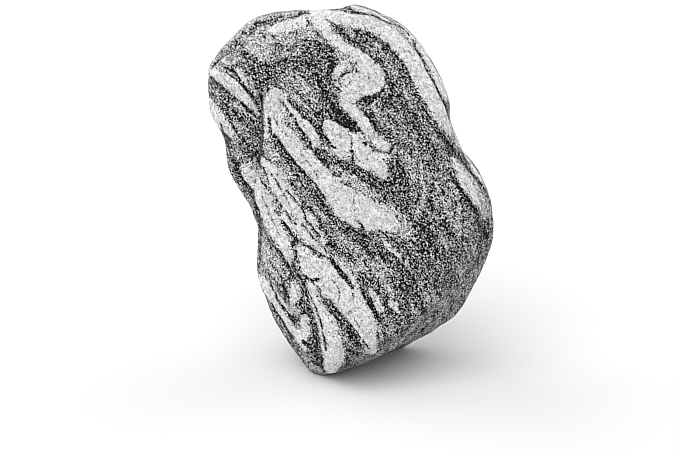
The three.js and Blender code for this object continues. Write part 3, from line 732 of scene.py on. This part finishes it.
@dataclass
class Boulder:
    """The boulder itself: one closed skin, shaped from a sphere."""

    banding: Banding
    outline: tuple[tuple[float, float], ...] = OUTLINE
    heart: tuple[float, float, float] = (0, 0, 118)  # where the outline and the flats are laid out from
    half_depth: float = 64  # from the outline's plane to the front face and to the back face
    reach: tuple[float, float, float] = (95, 64, 122)  # the sphere's half sizes before it is shaped
    fullness: float = 2.7  # 2 would be an ellipse between outline and face, more is squarer
    lean: float = 0.04  # how far the stone leans to the back for each mm up
    foot_soft: float = 3  # height over which its underside rounds off into the patch that it stands on
    plain_foot: float = 6  # height over which the fine relief sets in
    wave_start: float = 0.4  # share of its half depth over which bands and waves begin to stand out
    ledge_share: float = 0.27  # share of its depth that the face loses left of the ledge
    ledge_width: float = 2.2  # from the ledge's brink to its foot
    ledge_foot: Span = (84, 132)  # heights between which the ledge sets in
    ledge_top: Span = (182, 208)  # and between which it fades out
    front_share: float = 0.25  # how far the mesh's points draw towards the front face
    front_density: float = 1.5  # how far they then draw away from the outline, in front and behind
    back_density: float = 1.2
    rim_steps: int = 24  # points of the outline's curve from one of its named points to the next
    sphere_levels: int = 6
    sphere_cuts: int = 2
    pale_rise: float = 0.7  # pale bands wear less than the rest
    pale_step: Span = (-1.5, 2.5)  # depths inside a pale band over which it rises
    dark_sink: float = 0.8
    dark_step: Span = (-0.8, 1.2)
    ripple: float = 0.5  # height of the fine unevenness
    ripple_length: float = 9.0
    ripple_layers: tuple[float, float, int] = (1.0, 2.0, 3)  # its fading, its steps in size, and their number

    def build(self) -> bpy.types.Object:
        """Builds the skin.

        Returns:
            The finished object at the origin, with its bands' depths as attributes.
        """
        mesh = self.ball()
        points = np.zeros(len(mesh.vertices) * 3)
        mesh.vertices.foreach_get("co", points)
        directions = self.spread(points.reshape(-1, 3))
        points = self.centred(self.shape(directions))
        depths = {rock: self.banding.inside(rock, points) for rock in Rock}
        relief = self.fine_relief(points, depths) * smooth(0, self.plain_foot, points[:, 2])
        points = points + directions * relief[:, None]
        mesh.vertices.foreach_set("co", (points * MM).ravel())
        for rock, depth in depths.items():
            attribute = mesh.attributes.new(rock.value, "FLOAT", "POINT")
            attribute.data.foreach_set("value", depth.astype(np.float32))
        mesh.polygons.foreach_set("use_smooth", np.ones(len(mesh.polygons), bool))
        mesh.update()
        stone = bpy.data.objects.new("stone_surface", mesh)
        bpy.context.scene.collection.objects.link(stone)
        return stone

    def ball(self) -> bpy.types.Mesh:
        """Makes the ball that the skin is shaped from.

        Returns:
            A plain fine sphere of radius 1.
        """
        mesh = bpy.data.meshes.new("stone_skin")
        skin = bmesh.new()
        bmesh.ops.create_icosphere(skin, subdivisions=self.sphere_levels, radius=1.0)
        bmesh.ops.subdivide_edges(skin, edges=skin.edges[:], cuts=self.sphere_cuts, use_grid_fill=True)
        bmesh.ops.triangulate(skin, faces=skin.faces[:])
        skin.to_mesh(mesh)
        skin.free()
        return mesh

    def spread(self, points: np.ndarray) -> np.ndarray:
        """Spreads the skin's points so that they lie closer together on the front.

        Args:
            points: The ball's points.

        Returns:
            A direction from the heart for each of them.
        """
        directions = points / np.linalg.norm(points, axis=1, keepdims=True)
        directions[:, 1] -= self.front_share * (1 - directions[:, 1] ** 2)
        directions[:, 1] *= np.where(directions[:, 1] < 0, self.front_density, self.back_density)
        return directions / np.linalg.norm(directions, axis=1, keepdims=True)

    def shape(self, directions: np.ndarray) -> np.ndarray:
        """Gives the boulder its main form.

        Args:
            directions: Directions from the heart.

        Returns:
            The form's point in each direction, in millimetres.
        """
        points = self.pebble(directions)
        for flat in FLATS.values():
            over = (points - self.heart) @ flat.normal() - flat.distance
            points -= soft_excess(over, flat.soft)[:, None] * flat.normal()
        self.set_back(points)
        height = self.banding.rise(points)
        for wave in WAVES:
            height += wave.at(points @ np.array(wave.run))
        on_face = smooth(0, self.wave_start, np.abs(points[:, 1]) / self.half_depth)
        points += directions * (height * on_face)[:, None]
        points[:, 1] += self.lean * (points[:, 2] - self.heart[2])
        points[:, 2] = soft_excess(points[:, 2], self.foot_soft)
        return points

    def rim(self) -> tuple[np.ndarray, np.ndarray]:
        """Draws the outline as a smooth closed curve, a Catmull-Rom one, through its named points.

        Returns:
            The curve's angles round the heart, rising, and its distances from it.
        """
        named = np.array(self.outline) - (self.heart[0], self.heart[2])
        before, after, beyond = np.roll(named, 1, 0), np.roll(named, -1, 0), np.roll(named, -2, 0)
        curve = []
        for t in np.arange(self.rim_steps) / self.rim_steps:
            curve.append(0.5 * (
                2 * named
                + (after - before) * t
                + (2 * before - 5 * named + 4 * after - beyond) * t ** 2
                + (3 * named - before - 3 * after + beyond) * t ** 3
            ))
        curve = np.concatenate(curve)
        angles = np.arctan2(curve[:, 1], curve[:, 0])
        order = np.argsort(angles)
        return angles[order], np.hypot(curve[:, 0], curve[:, 1])[order]

    def pebble(self, directions: np.ndarray) -> np.ndarray:
        """Makes the plain pebble: the outline, rounded over to the faces in front of it and behind.

        Args:
            directions: Directions from the heart.

        Returns:
            The pebble's point in each direction, in millimetres.
        """
        reach = directions * self.reach
        angles, radii = self.rim()
        rim = np.interp(np.arctan2(reach[:, 2], reach[:, 0]), angles, radii, period=2 * math.pi)
        across = np.hypot(reach[:, 0], reach[:, 2]) / rim
        through = np.abs(reach[:, 1]) / self.half_depth
        scale = (across ** self.fullness + through ** self.fullness) ** (-1 / self.fullness)
        return reach * scale[:, None] + self.heart

    def set_back(self, points: np.ndarray) -> None:
        """Moves the face left of the ledge back, from under the crown to where the ledge runs out.

        Args:
            points: The pebble's points, which are moved in place.
        """
        ledge = np.array(LEDGE)[::-1]
        brink = np.interp(points[:, 2], ledge[:, 1], ledge[:, 0])
        left = smooth(0, self.ledge_width, brink - points[:, 0])
        height = smooth(*self.ledge_foot, points[:, 2]) * (1 - smooth(*self.ledge_top, points[:, 2]))
        points[:, 1] *= np.where(points[:, 1] < 0, 1 - self.ledge_share * left * height, 1)

    def fine_relief(self, points: np.ndarray, depths: dict[Rock, np.ndarray]) -> np.ndarray:
        """How far each point stands out for the bands' hardness and the fine unevenness.

        Args:
            points: The points of the main form.
            depths: How deep each of them lies inside the bands, for each kind of rock.

        Returns:
            Millimetres outwards. The pale bands' rise is evened out, so that the stone keeps its size.
        """
        height = self.pale_rise * (smooth(*self.pale_step, depths[Rock.PALE]) - 0.5)
        height -= self.dark_sink * smooth(*self.dark_step, depths[Rock.DARK])
        uneven = [noise.fractal(Vector(point) / self.ripple_length, *self.ripple_layers) for point in points]
        return height + self.ripple * np.array(uneven)

    @staticmethod
    def centred(points: np.ndarray) -> np.ndarray:
        """The points with the middle of their box over the origin and the lowest at height 0."""
        low, high = points.min(0), points.max(0)
        return points - ((low[0] + high[0]) / 2, (low[1] + high[1]) / 2, low[2])


Socket = bpy.types.NodeSocket
Value = float | tuple | Socket


class Bench:
    """Sets shader nodes into one tree and joins them."""

    cloud_middle = 0.5  # the value that a cloud varies round
    cloud_roughness = 0.6

    def __init__(self, tree: bpy.types.NodeTree) -> None:
        """Starts with an empty tree."""
        self.tree = tree
        tree.nodes.clear()

    def node(
        self, kind: str, inputs: dict[str | int, Value] | None = None, **settings: object
    ) -> bpy.types.Node:
        """Adds one node.

        Args:
            kind: The node's type, without the leading ShaderNode.
            inputs: What goes into its sockets, by name or number: a value, or another node's output.
            settings: The node's own settings.

        Returns:
            The node.
        """
        made = self.tree.nodes.new("ShaderNode" + kind)
        for name, setting in settings.items():
            setattr(made, name, setting)
        for key, value in (inputs or {}).items():
            if isinstance(value, Socket):
                self.tree.links.new(value, made.inputs[key])
            else:
                made.inputs[key].default_value = value
        return made

    def math(self, operation: str, *values: Value) -> Socket:
        """The result of a Math node on one to three values."""
        return self.node("Math", dict(enumerate(values)), operation=operation).outputs[0]

    def vector(self, operation: str, *values: Value) -> Socket:
        """The result of a Vector Math node on one or two vectors."""
        return self.node("VectorMath", dict(enumerate(values)), operation=operation).outputs[0]

    def eased(self, value: Value, low: Value, high: Value) -> Socket:
        """Share from 0 at low to 1 at high, eased at both ends."""
        inputs = {"Value": value, "From Min": low, "From Max": high}
        return self.node("MapRange", inputs, interpolation_type="SMOOTHSTEP").outputs["Result"]

    def blend(self, share: Value, low: Value, high: Value) -> Socket:
        """The number at that share of the way from low to high."""
        return self.node("Mix", {0: share, 2: low, 3: high}, data_type="FLOAT").outputs[0]

    def cloud(self, place: Value, length: float, detail: float) -> Socket:
        """A soft random value round 0.5 that varies over about that length."""
        inputs = {"Vector": place, "Scale": 1 / length, "Detail": detail, "Roughness": self.cloud_roughness}
        return self.node("TexNoise", inputs).outputs["Fac"]

    def drift(self, place: Value, length: float, detail: float) -> Socket:
        """A soft random value round 0 that varies over about that length."""
        return self.math("SUBTRACT", self.cloud(place, length, detail), self.cloud_middle)


@dataclass(frozen=True)
class GneissFinish:
    """The worn gneiss: grains of pale and dark minerals, mixed as the bands say; a few bands paint shade and
    light instead.
    """

    name: str = "banded gneiss"
    foliation: float = 56  # how steeply the grains lie, down to the right of the front face
    stretch: float = 1.4  # length of a grain over its width, along the foliation
    through: float = 1.8  # length of a grain over its width, on its way from the front face to the back
    plunge: float = 16  # how steeply it goes down to the back
    shift: float = 150  # where in the noise the stone lies, mm
    grain: float = 0.44  # width of a grain, mm
    grain_bend: float = 0.3  # how far the grains' edges wander, mm
    bend_scale: float = 1.0  # how often they wander, for each mm
    grain_edge: float = 0.07  # how far from a place's share a grain may lie and still be partly pale
    coarse: float = 2.0  # detail of the clouds that change slowly
    fine: float = 3.0  # detail of the clouds that change quickly
    pale_share: float = 0.94  # share of pale grains in each kind of rock
    mottled_share: float = 0.61
    matrix_share: float = 0.33
    dim_share: float = 0.23
    dark_share: float = 0.08
    margin_loss: float = 0.08  # of that share, beside the pale bands
    layer: float = 2.2  # thickness of the thin layers that run beside the bands, mm
    layer_share: float = 0.5  # how far the thin layers change the share of pale grains
    layer_change: tuple[float, float, float] = (0.05, 0.09, 0.09)  # how quickly they change, for each mm
    patch: float = 0.45  # how far that share drifts from place to place
    patch_length: float = 7
    streak: float = 0.45  # width of such a patch over its length
    ragged: float = 3.0  # how far the bands' edges wander, mm
    ragged_length: float = 2.2
    dark_ragged: float = 0.4  # share of it in the dark lines
    pale_edge: Span = (-1.5, 0.9)  # depths over which each kind of rock sets in, mm
    mottled_edge: Span = (-1.5, 1.5)
    dim_edge: Span = (-1.0, 1.2)
    dark_edge: Span = (-0.8, 0.6)
    margin_edge: Span = (-3.5, -0.4)
    cloudy_share: float = 0.75  # in the clouded spots of the pale bands
    cloud_length: float = 2.6
    cloud_edge: Span = (0.34, 0.48)  # values of a cloud over which such a spot ends
    core: Span = (0.5, 4.5)  # depth in a pale band at which its dark grains turn grey, mm
    mottled_clean: float = 0.25  # how far the dark grains are grey in mottled rock, for 1 in a pale band
    smudge: float = 2.6  # length over which the pale grains' tone drifts, mm
    smudge_edge: Span = (0.35, 0.65)  # values of a cloud over which the tone goes from dark to light
    tone_mix: float = 0.55  # the grain's own share in its tone, the rest drifts from place to place
    pale_tones: Span = (0.42, 0.94)
    grey_tones: Span = (0.02, 0.32)
    dark_tones: Span = (0.002, 0.025)
    roughness: Span = (0.55, 0.85)
    gloss: float = 0.06
    relief: float = 0.3  # height of the grains, mm
    pale_height: float = 0.6  # share of it by which pale grains stand over dark ones
    bulge_height: float = 0.4  # share of it by which a grain's middle stands over its edge

    def material(self) -> bpy.types.Material:
        """Makes the material.

        Returns:
            The material, with its nodes.
        """
        material = bpy.data.materials.new(self.name)
        material.use_nodes = True
        bench = Bench(material.node_tree)
        place = self._place(bench)
        share, clean = self._mixture(bench, place)
        pale, tone, bulge = self._grains(bench, place, share)
        dark_colour = bench.blend(
            clean, bench.blend(tone, *self.dark_tones), bench.blend(tone, *self.grey_tones)
        )
        smudge = bench.eased(bench.cloud(place, self.smudge, self.fine), *self.smudge_edge)
        own_tone = bench.math("MULTIPLY", tone, self.tone_mix)
        light_tone = bench.math("MULTIPLY_ADD", smudge, 1 - self.tone_mix, own_tone)
        bulging = bench.math("MULTIPLY", bulge, self.bulge_height)
        height = bench.math("MULTIPLY_ADD", pale, self.pale_height, bulging)
        bump = bench.node("Bump", {"Height": height, "Strength": 1.0, "Distance": self.relief * MM})
        shader = bench.node("BsdfPrincipled", {
            "Base Color": bench.blend(pale, dark_colour, bench.blend(light_tone, *self.pale_tones)),
            "Roughness": bench.blend(pale, *self.roughness),
            "Normal": bump.outputs["Normal"],
            "Specular IOR Level": self.gloss,
            "Diffuse Roughness": 1.0,
        })
        bench.node("OutputMaterial", {"Surface": shader.outputs["BSDF"]})
        return material

    def _place(self, bench: Bench) -> Socket:
        """Turns the object's own coordinates to the grain of the rock.

        Args:
            bench: The bench with the material's nodes.

        Returns:
            Places in mm, with X along the foliation and Y along the grains' way to the back.
        """
        spot = bench.node("TexCoord").outputs["Object"]
        scaled = bench.vector("MULTIPLY", spot, (1 / MM, 1 / MM, 1 / MM))
        turns = (math.radians(self.plunge), math.radians(-self.foliation), 0)
        placing = {"Vector": scaled, "Rotation": turns, "Location": (0, self.shift, 0)}
        turned = bench.node("Mapping", placing).outputs["Vector"]
        return bench.vector("MULTIPLY", turned, (1, 1 / self.through, 1))

    def _depth(self, bench: Bench, rock: Rock) -> Socket:
        """How deep inside the bands of one kind of rock the surface lies, in mm."""
        return bench.node("Attribute", attribute_name=rock.value).outputs["Fac"]

    def _mixture(self, bench: Bench, place: Socket) -> tuple[Socket, Socket]:
        """The mix of the rock over the surface.

        Args:
            bench: The bench with the material's nodes.
            place: Places in mm.

        Returns:
            The share of pale grains, and how clean the rock is of black ones.
        """
        pale_depth = self._depth(bench, Rock.PALE)
        layers = self._layers(bench, place, pale_depth)
        streaked = bench.vector("MULTIPLY", place, (self.streak, 1, 1))
        patches = bench.drift(streaked, self.patch_length, self.coarse)
        share = bench.math("MULTIPLY_ADD", layers, 2 * self.layer_share, self.matrix_share)
        share = bench.math("MULTIPLY_ADD", patches, 2 * self.patch, share)
        wander = bench.cloud(streaked, self.ragged_length, self.fine)
        ragged = bench.math("MULTIPLY_ADD", wander, 2 * self.ragged, -self.ragged)
        amounts = []
        for rock, edge, rock_share in (
            (Rock.MOTTLED, self.mottled_edge, self.mottled_share),
            (Rock.DIM, self.dim_edge, self.dim_share),
        ):
            amount = bench.eased(bench.math("ADD", self._depth(bench, rock), ragged), *edge)
            layered = bench.math("MULTIPLY_ADD", layers, self.layer_share, rock_share)
            share = bench.blend(amount, share, layered)
            amounts.append(amount)
        mottle, dimness = amounts
        ragged_depth = bench.math("ADD", pale_depth, ragged)
        pale = bench.eased(ragged_depth, *self.pale_edge)
        margin = bench.math("SUBTRACT", bench.eased(ragged_depth, *self.margin_edge), pale)
        share = bench.math("MULTIPLY_ADD", margin, -self.margin_loss, share)
        spots = bench.eased(bench.cloud(streaked, self.cloud_length, self.fine), *self.cloud_edge)
        share = bench.blend(pale, share, bench.blend(spots, self.cloudy_share, self.pale_share))
        dark_depth = bench.math("MULTIPLY_ADD", ragged, self.dark_ragged, self._depth(bench, Rock.DARK))
        darkness = bench.eased(dark_depth, *self.dark_edge)
        # The dim and dark masks carry painted shade too: low on the right, at the right foot, on the recess
        # wall and along the ledge
        dim_or_dark = bench.math("MAXIMUM", dimness, darkness)
        half_clean = bench.math("MULTIPLY", bench.math("SUBTRACT", mottle, dim_or_dark), self.mottled_clean)
        core = bench.eased(ragged_depth, *self.core)
        clean = bench.math("MAXIMUM", bench.math("SUBTRACT", core, darkness), half_clean)
        return bench.blend(darkness, share, self.dark_share), clean

    def _layers(self, bench: Bench, place: Socket, depth: Socket) -> Socket:
        """The thin layers that run beside the pale bands, as a random value round 0.

        Args:
            bench: The bench with the material's nodes.
            place: Places in mm.
            depth: How deep inside the pale bands the surface lies, in mm, less than 0 outside them.

        Returns:
            A value that changes quickly away from the bands and slowly along them.
        """
        slow = bench.vector("MULTIPLY", place, self.layer_change)
        across = bench.node("CombineXYZ", {"X": depth, "Y": 0.0, "Z": 0.0}).outputs[0]
        layered = bench.vector("ADD", bench.vector("MULTIPLY", across, (1 / self.layer, 0, 0)), slow)
        return bench.drift(layered, 1.0, self.coarse)

    def _grains(self, bench: Bench, place: Socket, share: Socket) -> tuple[Socket, Socket, Socket]:
        """The grains.

        Args:
            bench: The bench with the material's nodes.
            place: Places in mm, with X along the foliation.
            share: The share of pale grains.

        Returns:
            How pale the grain is, a random number for its tone, and how far it bulges.
        """
        grain_place = bench.vector("MULTIPLY", place, (1 / self.stretch, 1, 1))
        noise_inputs = {"Vector": grain_place, "Scale": self.bend_scale, "Detail": 1.0}
        bend = bench.node("TexNoise", noise_inputs).outputs["Color"]
        bend = bench.vector("SUBTRACT", bend, (bench.cloud_middle,) * 3)
        bend = bench.vector("MULTIPLY", bend, (2 * self.grain_bend,) * 3)
        bent = bench.vector("ADD", grain_place, bend)
        cells = bench.node("TexVoronoi", {"Vector": bent, "Scale": 1 / self.grain})
        split = bench.node("SeparateColor", {"Color": cells.outputs["Color"]})
        pick, tone = split.outputs[0], split.outputs[1]
        low = bench.math("SUBTRACT", share, self.grain_edge)
        high = bench.math("ADD", share, self.grain_edge)
        pale = bench.math("SUBTRACT", 1.0, bench.eased(pick, low, high))
        bulge = bench.math("SUBTRACT", 1.0, cells.outputs["Distance"])
        return pale, tone, bulge


@dataclass(frozen=True)
class Lamp:
    """A broad soft light: where it comes from, its strength, and the angle that it fills."""

    name: str
    comes_from: tuple[float, float, float]
    strength: float
    angle: float


@dataclass(frozen=True)
class Studio:
    """The pale floor, the soft light and the camera."""

    floor_half: float = 6.0  # metres
    floor_tone: float = 0.8
    floor_roughness: float = 0.9
    sky: float = 0.62
    lamps: tuple[Lamp, ...] = (
        Lamp("key", (-0.25, -0.6, 0.8), 1.8, 60),
        Lamp("left", (-0.8, 0.5, 0.6), 1.0, 60),
        Lamp("right", (0.8, 0.5, 0.6), 0.6, 60),
    )
    target: tuple[float, float, float] = (-8.5, 0, 95.5)
    distance: float = 1225
    elevation: float = 16
    lens: float = 100
    sensor: float = 36
    gamma: float = 2.2
    sharpness: float = 0.1

    def build(self) -> None:
        """Sets everything up and says which camera is used."""
        self._floor()
        self._light()
        self._camera()
        self._develop()
        bpy.context.scene.view_settings.view_transform = "Standard"

    def _floor(self) -> None:
        """A plain floor, which isn't part of the object."""
        mesh = bpy.data.meshes.new("floor")
        sheet = bmesh.new()
        bmesh.ops.create_grid(sheet, x_segments=1, y_segments=1, size=self.floor_half)
        sheet.to_mesh(mesh)
        sheet.free()
        floor = bpy.data.objects.new("floor", mesh)
        bpy.context.scene.collection.objects.link(floor)
        material = bpy.data.materials.new("pale floor")
        material.use_nodes = True
        shader = material.node_tree.nodes["Principled BSDF"]
        shader.inputs["Base Color"].default_value = (self.floor_tone,) * 3 + (1,)
        shader.inputs["Roughness"].default_value = self.floor_roughness
        shader.inputs["Specular IOR Level"].default_value = 0.0
        mesh.materials.append(material)

    def _light(self) -> None:
        """An even white sky and broad soft lights from three sides."""
        world = bpy.data.worlds.new("studio")
        world.use_nodes = True
        background = world.node_tree.nodes["Background"]
        background.inputs["Color"].default_value = (1, 1, 1, 1)
        background.inputs["Strength"].default_value = self.sky
        bpy.context.scene.world = world
        for lamp in self.lamps:
            sun = bpy.data.lights.new(lamp.name, "SUN")
            sun.energy = lamp.strength
            sun.angle = math.radians(lamp.angle)
            hung = bpy.data.objects.new(lamp.name, sun)
            hung.rotation_euler = Vector(lamp.comes_from).to_track_quat("Z", "Y").to_euler()
            bpy.context.scene.collection.objects.link(hung)

    def _camera(self) -> None:
        """The camera in front of the broad face, looking a little down."""
        data = bpy.data.cameras.new("camera")
        data.lens = self.lens
        data.sensor_width = self.sensor
        camera = bpy.data.objects.new("camera", data)
        elevation = math.radians(self.elevation)
        back = Vector((0, -math.cos(elevation), math.sin(elevation)))
        camera.location = (Vector(self.target) + back * self.distance) * MM
        camera.rotation_euler = back.to_track_quat("Z", "Y").to_euler()
        bpy.context.scene.collection.objects.link(camera)
        bpy.context.scene.camera = camera

    def _develop(self) -> None:
        """Sharpens the picture a little, as a camera does with a photograph."""
        scene = bpy.context.scene
        scene.use_nodes = True
        tree = scene.node_tree
        tree.nodes.clear()
        step = tree.nodes.new("CompositorNodeRLayers").outputs["Image"]
        for kind, socket, value in (
            ("Gamma", "Gamma", 1 / self.gamma),
            ("Filter", "Fac", self.sharpness),
            ("Gamma", "Gamma", self.gamma),
        ):
            node = tree.nodes.new("CompositorNode" + kind)
            if kind == "Filter":
                node.filter_type = "SHARPEN"
            node.inputs[socket].default_value = value
            tree.links.new(step, node.inputs["Image"])
            step = node.outputs["Image"]
        tree.links.new(step, tree.nodes.new("CompositorNodeComposite").inputs["Image"])


def main() -> None:
    """Builds the boulder and its studio."""
    logging.basicConfig(level=logging.INFO, format="%(name)s: %(message)s")
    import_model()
    stone = Boulder(Banding()).build()
    stone.data.materials.append(GneissFinish().material())
    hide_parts("stone")
    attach(stone, "root")
    LOG.info("%s: %d triangles", stone.name, len(stone.data.polygons))
    Studio().build()


if __name__ == "__main__":
    main()
